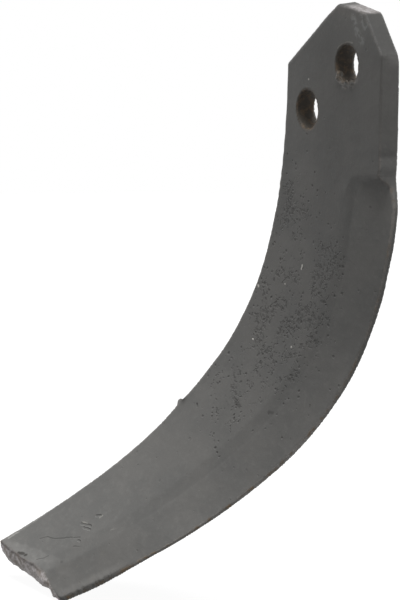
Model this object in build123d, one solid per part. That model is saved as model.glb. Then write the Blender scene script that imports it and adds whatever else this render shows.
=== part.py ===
from build123d import *
from math import asin, cos, degrees, radians, sin
import os

# Rotary tiller blade, forged in one piece from flat spring steel bar.
# X runs across the shank, Y through its thickness and Z up along it, in millimetres.
# The origin is half way between the two bolt holes, on the seat that lies against the rotor flange.

# Bar that the blade starts from
bar_width = 60
bar_thickness = 7

# Bolt holes, punched on a diagonal
hole_diameter = 14
holes_across = 25
holes_up = 18
lower_hole_to_edge = 14

# Head above the holes, with both corners sheared off
crown_height = 30
crown_fall = 2.5
long_chamfer_across = 32.5
long_chamfer_up = 24
short_chamfer_across = 11
short_chamfer_up = 13.5

# Concave rear edge, measured on the blank before it is bent
rear_straight = 3
rear_curve_radius = 250
rear_curve_angle = 31

# Convex cutting edge, measured on the blank: a slight neck, then rolled thin, and so wider, below a shoulder
shank_flare = 1
neck_height = 5
shoulder_drop = 26
shoulder_ramp = 4.5
swell_drop = 37
rolled_spread = 4
front_curve_drop = 13
front_curve_radius = 200
front_curve_angle = 40
edge_thickness = 2.1
tip_edge_thickness = 1.3
bevel_width_top = 21
bevel_width_tip = 14.5
soft_border = 6
shoulder_narrowing = 5
shoulder_round = 14

# Sideways bend of the lower blade, about lines that are turned from the shank's width
bend_drop = 51
bend_radius = 200
bend_turn = 18
wing_length = 183.5
tip_thickness = 5.5

# Tip, sheared askew and on a slant
tip_skew = 10
tip_slant = 24

# Edges, dulled in the tumbling drum
edge_round = 0.4
rim_round = 0.4

# How finely the curved surfaces are laid out, and how far a cut runs past the metal
wing_sections = 14
bevel_sections = 16
bevel_crowding = 1.5
overrun = 3
tip_allowance = 15
punch_length = 30

rear_x = -holes_across / 2 - lower_hole_to_edge
rear_curve_top = crown_height - long_chamfer_up - rear_straight
front_x = rear_x + bar_width
bend_across = Vector(cos(radians(bend_turn)), -sin(radians(bend_turn)))
bend_along = Vector(-sin(radians(bend_turn)), -cos(radians(bend_turn)))
bend_middle = Vector((rear_x + front_x) / 2, -bend_drop)


def upright(flat):
    """A direction on the flat blank, as a direction in the finished blade's frame."""
    return Vector(flat.X, 0, flat.Y)


def rear_edge():
    """Arc and straight tail of the concave edge, on the flat blank."""
    centre = (rear_x - rear_curve_radius, rear_curve_top)
    arc = CenterArc(centre, rear_curve_radius, 0, -rear_curve_angle)
    return [arc, Line(arc @ 1, arc @ 1 + (arc % 1) * wing_length)]


def front_edge(drop):
    """Arc and straight tail of the rolled convex edge, on the flat blank, from a drop below the origin."""
    centre = (front_x + rolled_spread - front_curve_radius, -front_curve_drop)
    start = degrees(asin((drop - front_curve_drop) / front_curve_radius))
    arc = CenterArc(centre, front_curve_radius, -start, start - front_curve_angle)
    return [arc, Line(arc @ 1, arc @ 1 + (arc % 1) * wing_length)]


def head():
    """Straight runs of the outline, from the rear edge's arc over the head to the swell of the cutting edge."""
    return Polyline(
        rear_edge()[0] @ 0,
        (rear_x, crown_height - long_chamfer_up),
        (rear_x + long_chamfer_across, crown_height),
        (front_x - short_chamfer_across, crown_height - crown_fall),
        (front_x, crown_height - crown_fall - short_chamfer_up),
        (front_x + shank_flare, neck_height - shoulder_drop),
        (front_x, -shoulder_drop),
        front_edge(swell_drop)[0] @ 0,
    )


def blank():
    """Outline of the blade as it lies flat, with spare length past the tip."""
    rear_arc, rear_tail = rear_edge()
    front_arc, front_tail = front_edge(swell_drop)
    end = Line(front_tail @ 1, rear_tail @ 1)
    return make_face([head(), front_arc, front_tail, end, rear_tail, rear_arc])


def along_of(flat):
    """How far a point of the blank lies past the line where the bend starts."""
    return (flat - bend_middle).dot(bend_along)


def thickness_at(along):
    """Plate thickness, which is drawn down evenly from the bend line to the tip."""
    return bar_thickness - (bar_thickness - tip_thickness) * max(along, 0) / wing_length


def edge_thickness_at(along):
    """Thickness of the rolled edge, which is drawn down with the plate."""
    return edge_thickness - (edge_thickness - tip_edge_thickness) * max(along, 0) / wing_length


def formed(flat, depth):
    """Place of a point of the blank once the blade is bent, at a depth behind the front face."""
    across = (flat - bend_middle).dot(bend_across)
    along = along_of(flat)
    angle = max(along, 0) / bend_radius
    reach = min(along, 0) + (bend_radius + depth) * sin(angle)
    rise = bend_radius - (bend_radius + depth) * cos(angle)
    place = bend_middle + bend_across * across + bend_along * reach
    return Vector(place.X, -bar_thickness - rise, place.Y)


def wing_section(outline, along):
    """Cross-section of the plain plate on one of the lines that the bend leaves straight."""
    middle = bend_middle + bend_along * along
    reach = bend_across * wing_length
    chord = (outline & Line(middle - reach, middle + reach)).edge()
    rear, front = sorted([chord @ 0, chord @ 1], key=lambda end: end.dot(bend_across))
    full = thickness_at(along)
    corners = [formed(rear, 0), formed(rear, full), formed(front, full), formed(front, 0)]
    return make_face(Polyline(*corners, close=True))


def plate():
    """Flat shank and bent wing at full thickness, before the edge is rolled."""
    outline = blank()
    bend_line = Plane(upright(bend_middle), x_dir=upright(bend_across), z_dir=upright(bend_along))
    shank = split(extrude(Plane.XZ * outline, bar_thickness), bisect_by=bend_line, keep=Keep.BOTTOM)
    step = (wing_length + tip_allowance) / (wing_sections - 1)
    wing = loft([wing_section(outline, step * i) for i in range(wing_sections)])
    return shank + wing


def bevel_section(point, heading, width, soft, raised=False):
    """Triangle of metal that the roll moves away, square to the convex edge; raised, it misses the metal.

    The soft one is half as steep and reaches further in, which eases the border of the rolled part.
    """
    inward = heading.rotate(Axis.Z, -90)
    slope = (thickness_at(along_of(point)) - edge_thickness_at(along_of(point))) / width
    if soft:
        width, slope = width + soft_border / 2, slope / 2
    inner = point + inward * (width + overrun)
    outer = point - inward * overrun
    lift = slope * width if raised else 0
    corners = [
        formed(inner, -slope * overrun - lift),
        formed(outer, slope * (width + overrun) - lift),
        formed(outer, -overrun - lift),
    ]
    return make_face(Polyline(*corners, close=True))


def bevel_width(way, run):
    """Width of the bevel at a way below the shoulder's foot; it opens out round the shoulder's corner."""
    corner = shoulder_narrowing * max(1 - way / shoulder_round, 0) ** 2
    return bevel_width_top - corner + (bevel_width_tip - bevel_width_top) * way / run


def bevel_path():
    """Arc and tail that the bevel is rolled along, and its length up to the end of the spare metal."""
    arc, tail = front_edge(shoulder_drop + shoulder_ramp)
    past_tip = along_of(tail @ 1) - wing_length - tip_allowance
    return arc, tail, arc.length + tail.length - past_tip


def bevel(soft):
    """Metal rolled away along the convex edge, in sections that lie closer together near the shoulder."""
    arc, tail, run = bevel_path()
    sections = []
    for i in range(bevel_sections):
        way = run * (i / (bevel_sections - 1)) ** bevel_crowding
        line, share = arc, way / arc.length
        if way > arc.length:
            line, share = tail, (way - arc.length) / tail.length
        sections.append(bevel_section(line @ share, line % share, bevel_width(way, run), soft))
    return loft(sections)


def shoulder(soft):
    """Wedge above the bevel that leaves the ramp of the rolled shoulder."""
    top = front_edge(shoulder_drop)[0]
    foot = front_edge(shoulder_drop + shoulder_ramp)[0]
    width = bevel_width(0, wing_length)
    upper = bevel_section(top @ 0, top % 0, width, soft, raised=True)
    return loft([upper, bevel_section(foot @ 0, foot % 0, width, soft)], ruled=True)


def edges_at(body, points):
    """The edges of a body that pass nearest to some points."""
    return [body.edges().sort_by_distance(point)[0] for point in points]


def rolled():
    """Plate with its cutting edge rolled thin."""
    return plate() - [bevel(False), bevel(True), shoulder(False), shoulder(True)]


def dulled(body):
    """Body with the sharp edges of its two faces rounded, apart from the rolled part's own."""
    lines = head().edges()
    seat_side = lines + rear_edge() + front_edge(swell_drop)
    front_side = lines[:-2] + rear_edge()
    places = [line @ 0.5 for line in seat_side]
    points = [formed(place, thickness_at(along_of(place))) for place in places]
    points += [formed(line @ 0.5, 0) for line in front_side]
    return fillet(edges_at(body, points), edge_round)


def tip_plane():
    """Plane of the shear cut that ends the wing, through the front corner of its rear edge."""
    tail = rear_edge()[1]
    share = (wing_length - along_of(tail @ 0)) / (along_of(tail @ 1) - along_of(tail @ 0))
    turn = wing_length / bend_radius
    onward = upright(bend_along) * cos(turn) - Vector(0, 1, 0) * sin(turn)
    backward = upright(bend_along) * sin(turn) + Vector(0, 1, 0) * cos(turn)
    skewed = upright(bend_across) * cos(radians(tip_skew)) - onward * sin(radians(tip_skew))
    slanted = backward * cos(radians(tip_slant)) + onward * sin(radians(tip_slant))
    return Plane(formed(tail @ share, 0), x_dir=skewed, z_dir=slanted.cross(skewed))


def bolt_holes():
    """Two punched holes on a diagonal about the origin."""
    punch = Cylinder(hole_diameter / 2, punch_length, rotation=(90, 0, 0))
    upper = (holes_across / 2, 0, holes_up / 2)
    lower = (-holes_across / 2, 0, -holes_up / 2)
    return [Pos(*upper) * punch, Pos(*lower) * punch]


blade = split(rolled(), bisect_by=tip_plane(), keep=Keep.BOTTOM)
blade = dulled(blade) - bolt_holes()
blade = fillet(blade.edges().filter_by(GeomType.CIRCLE), rim_round)
os.makedirs("parts", exist_ok=True)
export_step(blade, "parts/blade.step")
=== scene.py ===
import bmesh
import bpy
from math import atan2, cos, exp, hypot, radians, sin
from mathutils import Matrix, Vector, noise
from mathutils.bvhtree import BVHTree
from random import Random


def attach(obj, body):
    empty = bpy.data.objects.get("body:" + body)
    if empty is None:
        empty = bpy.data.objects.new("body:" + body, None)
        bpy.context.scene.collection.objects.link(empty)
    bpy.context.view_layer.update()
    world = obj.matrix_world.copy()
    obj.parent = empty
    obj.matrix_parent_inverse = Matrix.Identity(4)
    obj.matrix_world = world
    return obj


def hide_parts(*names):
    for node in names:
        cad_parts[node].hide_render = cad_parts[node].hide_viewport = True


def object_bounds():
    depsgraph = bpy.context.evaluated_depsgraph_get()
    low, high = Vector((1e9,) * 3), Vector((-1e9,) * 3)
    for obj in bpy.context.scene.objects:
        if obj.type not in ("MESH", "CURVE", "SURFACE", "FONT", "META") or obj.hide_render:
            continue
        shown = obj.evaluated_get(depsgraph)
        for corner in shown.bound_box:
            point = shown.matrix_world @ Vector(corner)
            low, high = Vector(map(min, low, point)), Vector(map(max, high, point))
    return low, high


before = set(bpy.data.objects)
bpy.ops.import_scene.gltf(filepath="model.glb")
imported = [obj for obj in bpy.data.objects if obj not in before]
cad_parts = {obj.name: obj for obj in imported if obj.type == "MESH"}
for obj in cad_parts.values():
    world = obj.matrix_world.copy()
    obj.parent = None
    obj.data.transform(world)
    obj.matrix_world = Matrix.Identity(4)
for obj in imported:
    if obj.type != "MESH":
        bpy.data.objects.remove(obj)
cad_low, cad_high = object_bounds()


# The blade: one forging of spring steel, rolled thin along its convex edge and bent at red heat.
# Head and tip are sheared and the bolt holes are punched, so those cuts are a little torn, and the
# whole skin carries the pits and the dark scale of the furnace.

mm = 0.001
plate = 7 * mm
plate_thinning = 1.5 * mm
hole_radius = 7 * mm
upper_hole = Vector((12.5, 9)) * mm
lower_hole = -upper_hole
wing_length = 183.5 * mm
bend_radius = 200 * mm
bend_middle = Vector((3.5, -51)) * mm
bend_turn = radians(18)
across_bend = Vector((cos(bend_turn), -sin(bend_turn)))
down_wing = Vector((-sin(bend_turn), -cos(bend_turn)))


def laid_flat(place):
    """Where a point of the blade lay on the straight bar: across, down from the holes, behind the face."""
    reach = Vector((place.x, place.z)) - bend_middle
    along = reach.dot(down_wing)
    depth = place.y + plate
    if along > 0:
        height = depth + bend_radius
        depth = hypot(along, height) - bend_radius
        along = atan2(along, height) * bend_radius
    flat = bend_middle + across_bend * reach.dot(across_bend) + down_wing * along
    return flat.x, -flat.y, depth


def bent(across, down, depth):
    """The point of the bent blade that a point of the straight bar becomes."""
    reach = Vector((across, -down)) - bend_middle
    along = reach.dot(down_wing)
    turned = max(along, 0) / bend_radius
    flat = min(along, 0) + (bend_radius + depth) * sin(turned)
    forward = bend_radius - (bend_radius + depth) * cos(turned)
    place = bend_middle + across_bend * reach.dot(across_bend) + down_wing * flat
    return Vector((place.x, -plate - forward, place.y))


# Convex cutting edge on the straight bar: a swell at the shoulder, an arc and a straight tail
shank_edge = 33.5 * mm
swell = 2.55 * mm
shoulder_top = 26 * mm
shoulder_foot = 37 * mm
shoulder_turn = radians(5)
convex_centre = Vector((-162.5, 13)) * mm
convex_radius = 200 * mm
convex_turn = radians(40)
convex_run = 122 * mm
run_out_swell = 1.0 * mm


def from_cutting_edge(across, down):
    """How far a point of the bar lies inside the convex edge, and how far past the shoulder along it."""
    away = Vector((across, down)) - convex_centre
    angle = atan2(away.y, away.x)
    if angle < convex_turn:
        return convex_radius - away.length, convex_radius * (angle - shoulder_turn)
    outward = Vector((cos(convex_turn), sin(convex_turn)))
    return convex_radius - away.dot(outward), convex_run - away.cross(outward)


# Concave edge on the straight bar: an arc, which ends this far down from the holes, and a straight tail
concave_centre = Vector((-276.5, -3)) * mm
concave_radius = 250 * mm
concave_turn = radians(31)
concave_end = 126 * mm


def from_concave_edge(across, down):
    """How far a point of the bar lies inside the concave edge."""
    away = Vector((across, down)) - concave_centre
    if atan2(away.y, away.x) < concave_turn:
        return away.length - concave_radius
    return away.dot(Vector((cos(concave_turn), sin(concave_turn)))) - concave_radius


def fuse_lump(skin, place, size, turn):
    """A rough lump of metal, which becomes one with the skin when the skin is meshed anew."""
    pose = Matrix.Translation(place) @ Matrix.Rotation(turn, 4, "Y") @ Matrix.Diagonal((*size, 1.0))
    bmesh.ops.create_icosphere(skin, subdivisions=2, radius=1.0, matrix=pose)


def meshed_anew(skin, spacing):
    """The skin as an even net of small squares, which can take dents and torn edges."""
    rough = bpy.data.meshes.new("rough_skin")
    skin.to_mesh(rough)
    skin.free()
    carrier = bpy.data.objects.new("rough_skin", rough)
    bpy.context.scene.collection.objects.link(carrier)
    net = carrier.modifiers.new("even_net", "REMESH")
    net.mode = "VOXEL"
    net.voxel_size = spacing
    even = bmesh.new()
    even.from_mesh(carrier.evaluated_get(bpy.context.evaluated_depsgraph_get()).data)
    bpy.data.objects.remove(carrier)
    bpy.data.meshes.remove(rough)
    return even


def sharpness(vert):
    """How sharply the skin turns at a point: near 0 where it is flat, and over 0 where it juts out."""
    ways = [(vert.co - edge.other_vert(vert).co).normalized() for edge in vert.link_edges]
    return sum(way.dot(vert.normal) for way in ways) / max(len(ways), 1)


def even_out(skin, sharp, rounds):
    """Takes the net's small steps out of the sharp edges, and gives the points that it moved.

    Each round draws the points in and pushes them out again, so that the edges keep their place.
    """
    zone = set(sharp)
    for ring in range(2):
        zone |= {edge.other_vert(vert) for vert in zone for edge in vert.link_edges}
    zone = list(zone)
    for pull in (0.6, -0.5) * rounds:
        bmesh.ops.smooth_vert(skin, verts=zone, factor=pull,
                              use_axis_x=True, use_axis_y=True, use_axis_z=True)
    return zone


def hump(distance, width):
    """A smooth hump: 1 at no distance, fading out over about its width."""
    return exp(-((distance / width) ** 2))


def humps(down, *swellings):
    """Sum of smooth swellings along the bar, each with its height, place and width in millimetres."""
    return sum(height * hump(down - place * mm, width * mm) for height, place, width in swellings)


def ramp(value, start, end):
    """0 before the start, 1 past the end, and a smooth rise between them."""
    share = min(max((value - start) / (end - start), 0.0), 1.0)
    return share * share * (3 - 2 * share)


def ripple(place, size, seed):
    """Smooth noise from about -1 to 1, with waves of about the given size."""
    return noise.noise(place / size + Vector((seed * 7.3, seed * 3.1, seed * 5.7)))


skin = bmesh.new()
skin.from_mesh(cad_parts["blade"].data)
bmesh.ops.remove_doubles(skin, verts=skin.verts, dist=0.002 * mm)
clean_metal = BVHTree.FromBMesh(skin)

# Torn lip of the upper hole, where the punch dragged the metal at its lower side
lip_start = 212
lip_step = 12.5
chance = Random(5)
for step in range(9):
    angle = radians(lip_start + lip_step * step)
    reach = hole_radius + chance.uniform(-1.1, 0.2) * mm
    place = Vector((upper_hole.x + reach * cos(angle), -plate + chance.uniform(-0.2, 0.9) * mm,
                    upper_hole.y + reach * sin(angle)))
    fuse_lump(skin, place, [chance.uniform(0.5, 1.25) * mm for side in range(3)], angle)

# Burr that the trimming left on the concave edge, in two lumps, and one on the outer corner of the tip
for across, down, depth, size, turn in (
        (-65.0, 128.8, 1.6, (1.6, 1.4, 1.9), 31),
        (-64.7, 129.7, 1.6, (0.8, 1.5, 2.0), 31),
        (-74.4, 213.8, 5.0, (1.6, 1.2, 1.1), 10),
        (-71.6, 213.8, 4.9, (1.6, 1.2, 1.1), 35)):
    place = bent(across * mm, down * mm, depth * mm)
    fuse_lump(skin, place, [side * mm for side in size], radians(turn))

# The net, with its edges evened out and laid back on the clean metal, apart from the lumps
net_size = 0.65 * mm
sharp_from = 0.12
lump_from = 0.4 * mm
skin = meshed_anew(skin, net_size)
skin.normal_update()
for vert in even_out(skin, [vert for vert in skin.verts if sharpness(vert) > sharp_from], 3):
    nearest, _, _, gap = clean_metal.find_nearest(vert.co)
    if gap < lump_from:
        vert.co = nearest
skin.normal_update()


class Spot:
    """A point of the skin: where it lay on the straight bar, and how far it belongs to each face."""

    def __init__(self, vert):
        place, facing = vert.co, vert.normal
        across, down, depth = laid_flat(place)
        self.place, self.facing, self.flat = place, facing, (across, down, depth)
        self.inset, self.way = from_cutting_edge(across, down)
        self.sharp = ramp(sharpness(vert), 0.05, 0.18)

        # Only the sheared end looks along the wing, and only the flat faces look square to it
        along = (Vector((across, -down)) - bend_middle).dot(down_wing)
        turned = max(along, 0) / bend_radius
        straight_on = Vector((down_wing.x, 0, down_wing.y))
        self.onward = straight_on * cos(turned) - Vector((0, sin(turned), 0))
        front = -straight_on * sin(turned) - Vector((0, cos(turned), 0))
        self.squareness = facing.dot(front)
        self.end_face = ramp(along, wing_length - 9.5 * mm, wing_length - 7.5 * mm)
        self.end_face *= ramp(facing.dot(self.onward), 0.35, 0.75)
        self.crown = ramp(-down, 26.5 * mm, 27.2 * mm) * ramp(facing.z, 0.55, 0.9)

        # Below the shoulder the bevel leans a little away from the rest of the front
        below_shoulder = ramp(down, 28 * mm, 34 * mm)
        self.on_front = ramp(self.squareness, 0.9, 0.96) * below_shoulder
        self.bevel = ramp(self.squareness, 0.993, 0.98) * ramp(self.squareness, 0.8, 0.9) * below_shoulder

        # The walls of the bolt holes look at the holes' axes
        self.from_upper = hypot(place.x - upper_hole.x, place.z - upper_hole.y)
        from_lower = hypot(place.x - lower_hole.x, place.z - lower_hole.y)
        nearer = upper_hole if self.from_upper < from_lower else lower_hole
        outward = Vector((place.x - nearer.x, 0, place.z - nearer.y)).normalized()
        self.bore = ramp(min(self.from_upper, from_lower), 8.4 * mm, 7.6 * mm)
        self.bore *= ramp(facing.dot(outward), 0.0, -0.5)
        self.torn = ramp(self.from_upper, 8.9 * mm, 8.0 * mm) * ramp(self.from_upper, 6.0 * mm, 7.0 * mm)
        self.torn *= ramp(depth, 1.2 * mm, 0.4 * mm) * ramp(place.z - upper_hole.y, -3 * mm, -6 * mm)
        self.torn *= ramp(ripple(place, 1.5 * mm, 8), -0.2, 0.25)

        # Narrow face of the cutting edge, but for a strip along its back that gets thinner on the way down
        # How much painted highlight the narrow face takes; where there is more, the unlit strip along its
        # back is narrower
        self.bright = ramp(self.way, 60 * mm, 110 * mm) + 0.15 * ramp(down, 56 * mm, 42 * mm)
        strip = -0.8 * self.bright
        from_back = plate - plate_thinning * max(along, 0) / wing_length - depth
        self.thin_edge = ramp(facing.x, 0.4, 0.7) * ramp(down, 27 * mm, 34 * mm) * (1 - self.end_face)
        self.thin_edge *= ramp(from_back, (1.0 + strip) * mm, (1.7 + strip) * mm)

        # The rolls ran out before the tip, so the cutting edge gets thicker and fuller there
        self.run_out = ramp(self.way, 178 * mm, 204 * mm) * ramp(self.inset, 3.5 * mm, 0.3 * mm)
        self.run_out *= 1 - self.end_face


def lift(spot):
    """How far the skin stands off the clean metal, straight out."""
    across, down, depth = spot.flat
    # Waves that the rolls and the hammer left
    height = 0.10 * mm * ripple(spot.place, 16 * mm, 1) + 0.05 * mm * ripple(spot.place, 5 * mm, 2)
    # Torn grain of the tip's cut
    grain = Vector((across, down, 0.5 * depth))
    height += spot.end_face * 0.4 * mm * (ripple(grain, 5.0 * mm, 3) + 0.4 * ripple(grain, 2.2 * mm, 4))
    # Ridge along the upper part of the bevel's border
    bevel_width = 21 * mm - 0.0266 * spot.way
    ridge = ramp(abs(spot.inset - bevel_width), 3 * mm, 0.3 * mm) * ramp(spot.way, 60 * mm, 25 * mm)
    height += spot.on_front * 0.12 * mm * ridge
    # Holes that the punch left narrower towards the back
    height += spot.bore * (0.15 * mm + 0.45 * mm * ramp(depth, 0.5 * mm, 6 * mm))
    # Thicker metal where the rolls ran out
    return height + spot.on_front * run_out_swell * spot.run_out


def side_push(spot):
    """How far the bar's narrow sides stand out, as they wander, and how the cutting side is out of square."""
    across, down, depth = spot.flat
    past_shoulder = (down - shoulder_top) / (shoulder_foot - shoulder_top)
    swollen = shank_edge + swell * min(max(past_shoulder, 0), 1)
    cut_gap = spot.inset if down > shoulder_foot else swollen - across
    # Towards the cutting side the shank leans out at its back, and both sides wander
    cut_side = 0.7 * ramp(depth, 0.5 * mm, 6.5 * mm) * ramp(down, 62 * mm, 50 * mm)
    cut_side += humps(down, (0.25, 100, 12), (0.5, 164, 20), (0.45, 25, 4), (-0.25, 37, 3), (-0.3, 20.5, 2))
    cut_side *= ramp(cut_gap, 3 * mm, 0) * ramp(-down, 16 * mm, 10 * mm)
    rear_side = humps(down, (0.8, 56, 18), (0.7, 116, 12), (0.8, 184, 24), (0.7, 130, 6))
    rear_side *= ramp(from_concave_edge(across, down), 3 * mm, 0)
    # Straight out from the concave edge, which both sides nearly follow
    slant = concave_turn * min(max(down, 0) / concave_end, 1) - bend_turn
    sideways = Vector((across_bend.x, 0, across_bend.y)) * cos(slant) + spot.onward * sin(slant)
    return sideways * mm * (cut_side - rear_side)


def tip_push(spot):
    """How far the tip's cut stands out, as the shear took more off its front than off its back."""
    across, down, depth = spot.flat
    # Line of the plain cut, which slopes over the tip's width and over its thickness
    cut_line = 206.7 * mm + 0.147 * (across + 109.7 * mm) + 0.445 * depth
    # A bulge and an overhang at the rear corner, a notch by the outer one, and the front edge sheared back
    uneven = 1.3 * hump(across + 103 * mm, 7 * mm) * ramp(depth, -1 * mm, 4 * mm)
    uneven += 0.6 * ramp(across, -100 * mm, -108 * mm) * ramp(depth, 5 * mm, 1 * mm)
    uneven -= 0.9 * hump(across + 79.2 * mm, 2 * mm) * ramp(depth, 1 * mm, 5 * mm)
    uneven -= 1.9 * ramp(depth, 3.2 * mm, 0.3 * mm) * ramp(across, -98 * mm, -82 * mm)
    return spot.onward * mm * uneven * ramp(cut_line - down, 6 * mm, 0)


def push(spot):
    """How far the skin is put over sideways at its edges, where the edges' own facing is unsteady."""
    across, down, depth = spot.flat
    cutting_side = Vector((cos(convex_turn), 0, -sin(convex_turn)))
    fallen_crown = ramp(-down, 24 * mm, 30 * mm) * ramp(across, 15 * mm, 6 * mm) * ramp(depth, 9 * mm, 0)
    fuller = cutting_side * run_out_swell * spot.run_out + side_push(spot)
    return fuller - Vector((0, 0, 0.6)) * mm * fallen_crown + tip_push(spot)


def pitting(spot):
    """How thick the pits lie: on the flat faces, in the patches where the furnace's scale was pressed in."""
    across, down, _ = spot.flat
    patches = ((-22, 46, 14, 1.3), (3, 60, 12, 1.0), (-14, 86, 34, 1.0), (-36, 118, 20, 0.8))
    furnace = max(strength * hump(hypot(across - x * mm, down - y * mm), wide * mm)
                  for x, y, wide, strength in patches)
    clump = ramp(ripple(spot.place, 6.5 * mm, 6), -0.3, 0.25)
    flat_side = ramp(spot.squareness, 0.9, 0.97) + 0.6 * ramp(spot.squareness, -0.9, -0.97)
    smooth_edge = 1 - 0.75 * ramp(spot.inset, 18 * mm, 10 * mm)
    return furnace * flat_side * smooth_edge * (0.5 + 0.6 * clump)


def rust(spot):
    """How much rust there is: a bloom on the cutting edge's narrow face, and less on the sheared end."""
    return max(spot.thin_edge * (0.5 + 0.4 * ramp(spot.way, 60 * mm, 100 * mm)), 0.4 * spot.end_face)


def wear(spot):
    """How far the scale is rubbed off, most of all on the crests of the sharp edges."""
    down = spot.flat[1]
    crest = spot.sharp * (1 - 0.85 * ramp(down, 20 * mm, 5 * mm))
    crest *= 1 - 0.6 * ramp(spot.way, 70 * mm, 110 * mm) * ramp(spot.inset, 6 * mm, 3 * mm)
    below_crown = ramp(-down, 23.5 * mm, 26 * mm) * ramp(spot.squareness, 0.8, 0.9)
    return max(crest, 0.9 * spot.torn, 0.5 * spot.thin_edge, 0.4 * below_crown)


def painted_light_and_wear(spot):
    """Painted light and shade, and a rubbed patch: how much lighter or darker the skin is made."""
    across, down, depth = spot.flat
    facing = spot.facing

    # Painted shade towards the cutting side of the head, on both chamfers and along the head's edge on that
    # side
    short_chamfer = ramp(facing.x, 0.55, 0.75) * ramp(facing.z, 0.2, 0.4) * ramp(-down, 10 * mm, 15 * mm)
    long_chamfer = ramp(facing.z, 0.5, 0.8) * ramp(across, 14 * mm, 8 * mm) * ramp(-down, 20 * mm, 27 * mm)
    shade = 1 - 0.22 * ramp(across, -22 * mm, 2 * mm) * ramp(down, 110 * mm, -10 * mm)
    shade *= (1 - 0.52 * short_chamfer) * (1 - 0.35 * long_chamfer)
    shade *= 1 - 0.15 * spot.sharp * ramp(down, 10 * mm, -5 * mm) * ramp(facing.x, 0.15, 0.4)

    # Painted light on the bevel, but not near the tip, and on the whole shank
    pale = 0.14 + 0.06 * ramp(down, 60 * mm, 120 * mm) - 0.26 * ramp(down, 165 * mm, 195 * mm)
    shade *= 1 + spot.bevel * pale
    shade *= 1 + 0.18 * ramp(down, 85 * mm, 45 * mm) + 0.1 * spot.bevel * ramp(down, 60 * mm, 35 * mm)

    # Rubbed bright past the crack at the tip, and painted light under the flare of the shank's narrow side
    rubbed = ramp(down + 0.1 * across + 0.9 * mm * ripple(spot.place, 3 * mm, 9), 193.4 * mm, 194.3 * mm)
    rubbed *= ramp(across, -79 * mm, -83 * mm) * ramp(spot.squareness, 0.8, 0.95)
    flare = ramp(facing.x, 0.7, 0.9) * ramp(facing.z, 0.1, -0.12) * hump(down - 24.5 * mm, 4.5 * mm)
    shade *= 1 + (0.22 + 0.15 * ripple(spot.place, 2.5 * mm, 11)) * rubbed + 0.4 * flare

    # Painted highlight on the narrow face of the cutting edge, brightest half way down it
    bright = 0.15 + 0.3 * ramp(down, 37 * mm, 40 * mm) + 1.0 * spot.bright
    bright -= 0.5 * ramp(spot.way, 110 * mm, 150 * mm) + 0.7 * ramp(spot.way, 180 * mm, 200 * mm)
    shade *= 1 + spot.thin_edge * bright

    # Painted light on the sheared end, with painted shade at its front edge; painted shade on the crown; the
    # torn lip lighter still; painted light on the head's top
    toward_back = ramp(depth, 3.0 * mm, 4.8 * mm) * ramp(across, -104 * mm, -90 * mm)
    shade *= 1 + spot.end_face * (0.2 * toward_back - 0.6 * ramp(depth, 1.2 * mm, 0.4 * mm))
    head_top = ramp(-down, 12 * mm, 24 * mm) * ramp(spot.squareness, 0.8, 0.9)
    shade *= 1 + 1.15 * spot.end_face - 0.25 * spot.crown + 0.6 * spot.torn + 0.2 * head_top

    # Painted shade in the hollow beside the burr on the concave edge
    return shade * (1 - 0.9 * hump(hypot(across + 63.2 * mm, down - 127.1 * mm), 1.6 * mm))


marks = {name: [] for name in ("pitted", "bared", "painted_hole_shade", "rusty", "worn", "painted_light_and_wear")}
flat_places = []
moves = []
for vert in skin.verts:
    spot = Spot(vert)
    across, _, depth = spot.flat
    flat_places += spot.flat
    moves.append(spot.facing * lift(spot) + push(spot))
    # Painted shadow under the torn lip of the upper hole
    shadow_under_lip = ramp(spot.from_upper, 7.3 * mm, 6.8 * mm) * ramp(depth, 0.4 * mm, 1.2 * mm)
    marks["pitted"].append(pitting(spot))
    marks["bared"].append(max(spot.crown * ramp(across, 8 * mm, 13 * mm), spot.end_face))
    marks["painted_hole_shade"].append(max(spot.bore, shadow_under_lip))
    marks["rusty"].append(rust(spot))
    marks["worn"].append(wear(spot))
    marks["painted_light_and_wear"].append(painted_light_and_wear(spot))

for vert, move in zip(skin.verts, moves):
    vert.co += move

blade_mesh = bpy.data.meshes.new("blade_skin")
skin.to_mesh(blade_mesh)
skin.free()
blade_mesh.shade_smooth()
for name, values in marks.items():
    blade_mesh.attributes.new(name, "FLOAT", "POINT").data.foreach_set("value", values)
blade_mesh.attributes.new("flat_place", "FLOAT_VECTOR", "POINT").data.foreach_set("vector", flat_places)


def add(tree, kind, **settings):
    """A new node of a material, with its settings and its unlinked sockets set by name."""
    made = tree.nodes.new("ShaderNode" + kind)
    for name, value in settings.items():
        if hasattr(made, name):
            setattr(made, name, value)
        else:
            made.inputs[name.replace("_", " ")].default_value = value
    return made


def plug(tree, value, socket):
    """Feeds a socket with another socket, or sets it to a plain value."""
    if isinstance(value, bpy.types.NodeSocket):
        tree.links.new(value, socket)
    else:
        socket.default_value = value


def blend(tree, share, under, over):
    """Colour that goes from one colour or socket to another by a share, which may be a socket."""
    mixer = add(tree, "Mix", data_type="RGBA")
    plug(tree, share, mixer.inputs[0])
    plug(tree, under, mixer.inputs[6])
    plug(tree, over, mixer.inputs[7])
    return mixer.outputs[2]


def reckon(tree, operation, *values):
    """Outcome of a sum whose values are numbers or sockets."""
    maths = add(tree, "Math", operation=operation)
    for value, socket in zip(values, maths.inputs):
        plug(tree, value, socket)
    return maths.outputs[0]


def reckon_vector(tree, operation, *values):
    """Outcome of a sum whose values are vectors or their sockets, which for a length is a number."""
    maths = add(tree, "VectorMath", operation=operation)
    for value, socket in zip(values, maths.inputs):
        plug(tree, value, socket)
    return maths.outputs["Value" if operation in ("LENGTH", "DOT_PRODUCT") else "Vector"]


def scaled(tree, vector, factor):
    """A vector or a colour times a factor."""
    maths = add(tree, "VectorMath", operation="SCALE")
    plug(tree, vector, maths.inputs[0])
    plug(tree, factor, maths.inputs["Scale"])
    return maths.outputs["Vector"]


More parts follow.
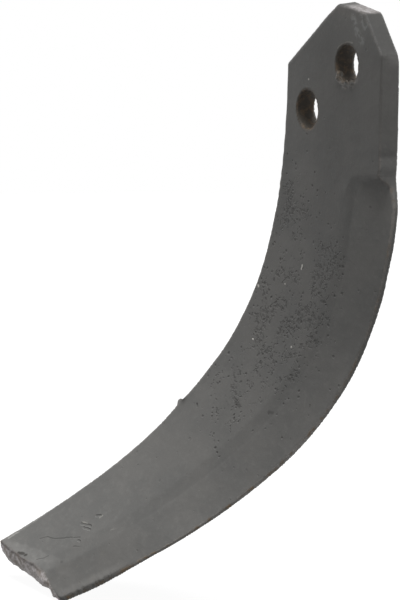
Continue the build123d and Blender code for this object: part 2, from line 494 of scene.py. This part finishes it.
def rise(tree, value, start, end, low=0.0, high=1.0, straight=False):
    """A value that goes from low to high, smoothly or straight, while another goes from start to end."""
    ranger = add(tree, "MapRange", From_Min=start, From_Max=end, To_Min=low, To_Max=high,
                 interpolation_type="LINEAR" if straight else "SMOOTHSTEP")
    tree.links.new(value, ranger.inputs["Value"])
    return ranger.outputs["Result"]


def pattern(tree, kind, where, **settings):
    """Noise or cells, laid out over the given coordinates."""
    made = add(tree, "Tex" + kind, **settings)
    tree.links.new(where, made.inputs["Vector"])
    return made.outputs


def cloud(tree, where, size, detail=3.0, roughness=0.55):
    """Noise from 0 to 1 with patches of about the given size."""
    return pattern(tree, "Noise", where, Scale=1 / size, Detail=detail, Roughness=roughness)["Fac"]


def mark(tree, name):
    """One of the marks that the mesh carries at each point."""
    return add(tree, "Attribute", attribute_name=name).outputs["Fac"]


def painted(tree, under, share, strength, over):
    """A colour with another laid over it, by a share times a strength."""
    return blend(tree, reckon(tree, "MULTIPLY", share, strength), under, (*over, 1))


steel = bpy.data.materials.new("scaled_spring_steel")
steel.use_nodes = True
tree = steel.node_tree
shader = tree.nodes["Principled BSDF"]
here = add(tree, "TexCoord").outputs["Object"]

# Scale: dark and even, a little mottled
fine = cloud(tree, here, 2.2 * mm, 4.0, 0.65)
mottle = rise(tree, cloud(tree, here, 22 * mm), 0.35, 0.65)
colour = blend(tree, mottle, (0.143, 0.142, 0.137, 1), (0.163, 0.160, 0.153, 1))
colour = blend(tree, rise(tree, fine, 0.45, 0.75, 0.0, 0.35), colour, (0.21, 0.206, 0.196, 1))

# Pits: small round ones and short crawling ones, thickest where scale was pressed in, and some lone ones
wander = pattern(tree, "Noise", here, Scale=1 / (1.6 * mm), Detail=2.0)["Color"]
warped = reckon_vector(tree, "MULTIPLY_ADD", wander, (1.1 * mm, 1.1 * mm, 1.1 * mm), here)
pitted = mark(tree, "pitted")
cells = pattern(tree, "Voronoi", warped, Scale=1 / (1.9 * mm))
lot = add(tree, "SeparateColor")
tree.links.new(cells["Color"], lot.inputs[0])
reach = rise(tree, lot.outputs[1], 0.0, 1.0, 0.04, 0.25)
hole = rise(tree, reckon(tree, "SUBTRACT", cells["Distance"], reach), -0.14, 0.2, 1.0, 0.0)
spare = reckon(tree, "SUBTRACT", lot.outputs[0], reckon(tree, "MULTIPLY", pitted, 0.95))
round_pit = reckon(tree, "MULTIPLY", hole, rise(tree, spare, -0.04, 0.04, 1.0, 0.0))
grit = cloud(tree, warped, 1.3 * mm, 2.0, 0.6)
crawl = reckon(tree, "SUBTRACT", grit, rise(tree, pitted, 0.0, 1.0, 0.22, 0.49))
pit = reckon(tree, "MAXIMUM", round_pit, rise(tree, crawl, -0.09, 0.05, 0.7, 0.0))
lone_cells = pattern(tree, "Voronoi", warped, Scale=1 / (9 * mm))
pit = reckon(tree, "MAXIMUM", pit, rise(tree, lone_cells["Distance"], 0.0, 0.06, 0.4, 0.0))
colour = painted(tree, colour, pit, 0.34, (0.03, 0.029, 0.027))

# Coordinates of the straight bar, for marks with a place of their own, drawn by a hand that
# wanders by up to 0.7 millimetres
wobble = 0.7
flat_place = add(tree, "Attribute", attribute_name="flat_place").outputs["Vector"]
bar = reckon_vector(tree, "MULTIPLY_ADD", wander, (wobble * mm, wobble * mm, 0), flat_place)


def stroke(tree, start, end, width):
    """1 on the line between two points of the straight bar, and 0 past its width."""
    run = end - start
    away = reckon_vector(tree, "SUBTRACT", bar, (*start, 0))
    share = reckon_vector(tree, "DOT_PRODUCT", away, (*(run / max(run.length_squared, 1e-12)), 0))
    nearest = scaled(tree, (*run, 0), rise(tree, share, 0.0, 1.0, straight=True))
    miss = reckon_vector(tree, "LENGTH", reckon_vector(tree, "SUBTRACT", away, nearest))
    return rise(tree, miss, 0.35 * width * mm, width * mm, 1.0, 0.0)


def strokes(tree, width, *lines):
    """The strongest of several lines, each through two or more points of the straight bar, in millimetres."""
    found = None
    for line in lines:
        points = [Vector((across + wobble / 2, down + wobble / 2)) * mm for across, down in line]
        for start, end in zip(points, points[1:]):
            one = stroke(tree, start, end, width)
            found = one if found is None else reckon(tree, "MAXIMUM", found, one)
    return found


# Nicks, cracks, dents and dark spots near the tip, and bright lips where a flake of scale has lifted
nicks = strokes(tree, 0.9, ((-99.0, 207.7), (-96.6, 207.0)), ((-95.4, 207.4), (-95.2, 207.2)))
cracks = strokes(tree, 0.4, ((-94.6, 198.8), (-92.0, 197.0), (-87.9, 196.2), (-80.8, 192.6)),
                 ((-89.1, 207.4), (-86.8, 205.4), (-85.3, 203.3)), ((-77.5, 195.5), (-72.2, 193.3)),
                 ((-79.8, 192.4), (-77.3, 191.2)))
dents = strokes(tree, 0.7, ((-80.8, 186.3), (-76.0, 185.4)), ((-78.4, 187.2), (-75.4, 186.8)),
                ((-76.4, 181.0), (-74.8, 180.2)), ((-77.0, 192.6), (-76.4, 192.6)))
dark_spots = strokes(tree, 1.1, ((-78.1, 202.6), (-78.0, 202.6)), ((-73.8, 202.6), (-73.7, 202.6)),
                     ((-33.7, 120.6), (-31.0, 121.4)), ((-14.6, 119.7), (-12.4, 119.4)))
lips = strokes(tree, 0.45, ((-80.9, 185.5), (-78.4, 185.1)), ((-74.5, 181.0), (-73.8, 179.8)),
               ((-66.0, 183.3), (-63.0, 181.0)), ((-38.8, 76.2), (-38.0, 77.6)),
               ((6.6, -14.3), (9.1, -15.9), (12.2, -16.9), (15.3, -16.8)))
colour = painted(tree, colour, nicks, 0.8, (0.03, 0.028, 0.025))
colour = painted(tree, colour, cracks, 0.28, (0.035, 0.034, 0.03))
colour = painted(tree, colour, dark_spots, 0.5, (0.045, 0.043, 0.04))
colour = painted(tree, colour, lips, 0.5, (0.36, 0.35, 0.32))

# Concave edge of the lower wing, lighter in places
rim = strokes(tree, 0.55, ((-108.0, 204.2), (-97.0, 183.6), (-85.3, 162.4), (-80.2, 153.2)))
rim_breaks = rise(tree, cloud(tree, here, 5 * mm), 0.35, 0.55, 0.2, 0.6)
colour = painted(tree, colour, rim, rim_breaks, (0.36, 0.36, 0.34))

# Bright specks, where a flake of scale has sprung off, and scuffs beside the short chamfer
specks = strokes(tree, 0.5, ((-21.4, 73.4), (-21.3, 73.4)), ((-12.0, 64.8), (-12.3, 66.4)),
                 ((12.8, 68.2), (12.9, 68.2)), ((22.2, 68.6), (22.3, 68.6)), ((21.5, 72.3), (21.6, 72.3)),
                 ((-34.4, 96.5), (-34.3, 96.5)), ((-11.1, 94.6), (-11.0, 94.6)),
                 ((-12.1, -1.8), (-12.0, -1.8)), ((-38.0, 77.0), (-37.6, 77.3)))
colour = blend(tree, specks, colour, (0.6, 0.58, 0.54, 1))
scuffs = strokes(tree, 2.2, ((15.5, -25.5), (17.5, -22.5)), ((20.5, -25.5), (23.5, -23.0)),
                 ((18.5, -20.5), (21.5, -18.0)))
scuff_breaks = rise(tree, cloud(tree, here, 1.6 * mm, 3.0, 0.6), 0.42, 0.6, 0.0, 0.5)
colour = painted(tree, colour, scuffs, scuff_breaks, (0.32, 0.33, 0.32))

# Worn edges, bare sheared faces, painted shade with a little rust in the bores and under the torn lip, and a
# bloom of rust
rubbed_off = rise(tree, fine, 0.35, 0.6, 0.1, 0.5)
colour = painted(tree, colour, mark(tree, "worn"), rubbed_off, (0.27, 0.245, 0.225))
streak = cloud(tree, here, 1.8 * mm, 4.0, 0.6)
bare = blend(tree, rise(tree, streak, 0.35, 0.65), (0.19, 0.175, 0.165, 1), (0.38, 0.36, 0.36, 1))
# Dark colour of the painted shade in the bores and under the torn lip, with some rust brown in it
bore_shade_and_rust = blend(tree, rise(tree, streak, 0.45, 0.7), (0.08, 0.071, 0.06, 1), (0.155, 0.115, 0.08, 1))
# Bare faces, then the painted light and shade laid on as a factor
colour = scaled(tree, blend(tree, mark(tree, "bared"), colour, bare), mark(tree, "painted_light_and_wear"))
colour = blend(tree, mark(tree, "painted_hole_shade"), colour, bore_shade_and_rust)
bloom = rise(tree, cloud(tree, here, 3.2 * mm, 3.0), 0.42, 0.7)
browned = blend(tree, bloom, (0.10, 0.07, 0.04, 1), (0.25, 0.17, 0.095, 1))
colour = blend(tree, reckon(tree, "MULTIPLY", mark(tree, "rusty"), bloom), colour, browned)
tree.links.new(colour, shader.inputs["Base Color"])

# Satin skin with dull pits, which like the cracks and dents lie below it
sheen = reckon(tree, "ADD", rise(tree, fine, 0.3, 0.7, 0.46, 0.6), reckon(tree, "MULTIPLY", pit, 0.25))
tree.links.new(sheen, shader.inputs["Roughness"])
shader.inputs["Specular IOR Level"].default_value = 0.15
deep = reckon(tree, "ADD", reckon(tree, "MAXIMUM", pit, reckon(tree, "MULTIPLY", cracks, 0.4)), dents)
height = reckon(tree, "SUBTRACT", reckon(tree, "MULTIPLY", fine, 0.25), deep)
height = reckon(tree, "ADD", height, reckon(tree, "MULTIPLY", cloud(tree, here, 6 * mm, 2.0), 0.5))
relief = add(tree, "Bump", Strength=1.0, Distance=0.28 * mm)
tree.links.new(height, relief.inputs["Height"])
tree.links.new(relief.outputs["Normal"], shader.inputs["Normal"])

blade_mesh.materials.append(steel)
blade = bpy.data.objects.new("blade_skin", blade_mesh)
bpy.context.scene.collection.objects.link(blade)
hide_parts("blade")
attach(blade, "root")


# The floor: one plain pale sheet, which the tip stands on.
# It is a wide round of matt white board, and lies a hair below the lowest point of the blade.

board_gap = 1.0 * mm
floor_sheet = bmesh.new()
bmesh.ops.create_circle(floor_sheet, cap_ends=True, segments=96, radius=1.0,
                        matrix=Matrix.Translation((0, 0, cad_low[2] - board_gap)))
floor_mesh = bpy.data.meshes.new("floor")
floor_sheet.to_mesh(floor_mesh)
floor_sheet.free()


def looked_at(tree):
    """1 for what the camera sees, also by reflection or through glass, and 0 for what only gives light."""
    path = add(tree, "LightPath").outputs
    seen = reckon(tree, "MAXIMUM", path["Is Camera Ray"], path["Is Glossy Ray"])
    return reckon(tree, "MAXIMUM", seen, path["Is Transmission Ray"])


board = bpy.data.materials.new("white_board")
board.use_nodes = True
tree = board.node_tree
tree.nodes.remove(tree.nodes["Principled BSDF"])
matt = add(tree, "BsdfDiffuse", Color=(0.16, 0.16, 0.16, 1))
glow = add(tree, "Emission", Color=(1, 1, 1, 1))
tree.links.new(reckon(tree, "MULTIPLY", looked_at(tree), 0.92), glow.inputs["Strength"])
both = add(tree, "AddShader")
tree.links.new(matt.outputs[0], both.inputs[0])
tree.links.new(glow.outputs[0], both.inputs[1])
tree.links.new(both.outputs[0], tree.nodes["Material Output"].inputs["Surface"])
floor_mesh.materials.append(board)
floor = bpy.data.objects.new("floor", floor_mesh)
bpy.context.scene.collection.objects.link(floor)


# The light: a pale room, one wide soft lamp overhead and a weaker one behind the blade.
# The room is plain white to the camera and dimmer as a light.

room = bpy.data.worlds.new("room")
bpy.context.scene.world = room
room.use_nodes = True
tree = room.node_tree
walls = tree.nodes["Background"]
walls.inputs["Color"].default_value = (1, 1, 1, 1)
tree.links.new(rise(tree, looked_at(tree), 0.0, 1.0, 0.28, 1.0), walls.inputs["Strength"])

lamp_width = 1.5
blade_middle = Vector((-0.03, 0, -0.08))


def hang_lamp(name, place, power):
    """A round soft lamp that faces the blade."""
    lamp = bpy.data.lights.new(name, "AREA")
    lamp.shape = "DISK"
    lamp.size = lamp_width
    lamp.energy = power
    holder = bpy.data.objects.new(name, lamp)
    facing = (Vector(place) - blade_middle).to_track_quat("Z", "Y")
    holder.matrix_world = Matrix.Translation(place) @ facing.to_matrix().to_4x4()
    bpy.context.scene.collection.objects.link(holder)


hang_lamp("overhead_lamp", (0.2, -0.05, 2.2), 69)
hang_lamp("fill_lamp", (-0.5, 2.2, 0.4), 22)


# The camera: a long lens a little above the blade, at the photograph's angle.
# It looks at the middle of the blade from the side that the wing bends to.

azimuth = radians(60.94)
elevation = radians(11.9)
roll = radians(0.83)
distance = 850 * mm
aim = Vector((-88.33, -7, -92.25)) * mm
back = Vector((sin(azimuth) * cos(elevation), -cos(azimuth) * cos(elevation), sin(elevation)))
level_right = Vector((cos(azimuth), sin(azimuth), 0))
level_up = back.cross(level_right)
right = level_right * cos(roll) + level_up * sin(roll)
up = level_up * cos(roll) - level_right * sin(roll)
lens = bpy.data.cameras.new("camera")
lens.sensor_fit = "VERTICAL"
lens.sensor_height = 24
lens.lens = 87.03
lens.clip_start = 0.01
camera = bpy.data.objects.new("camera", lens)
stance = Matrix((right, up, back)).transposed().to_4x4()
camera.matrix_world = Matrix.Translation(aim + back * distance) @ stance
bpy.context.scene.collection.objects.link(camera)
bpy.context.scene.camera = camera
bpy.context.scene.view_settings.view_transform = "Standard"
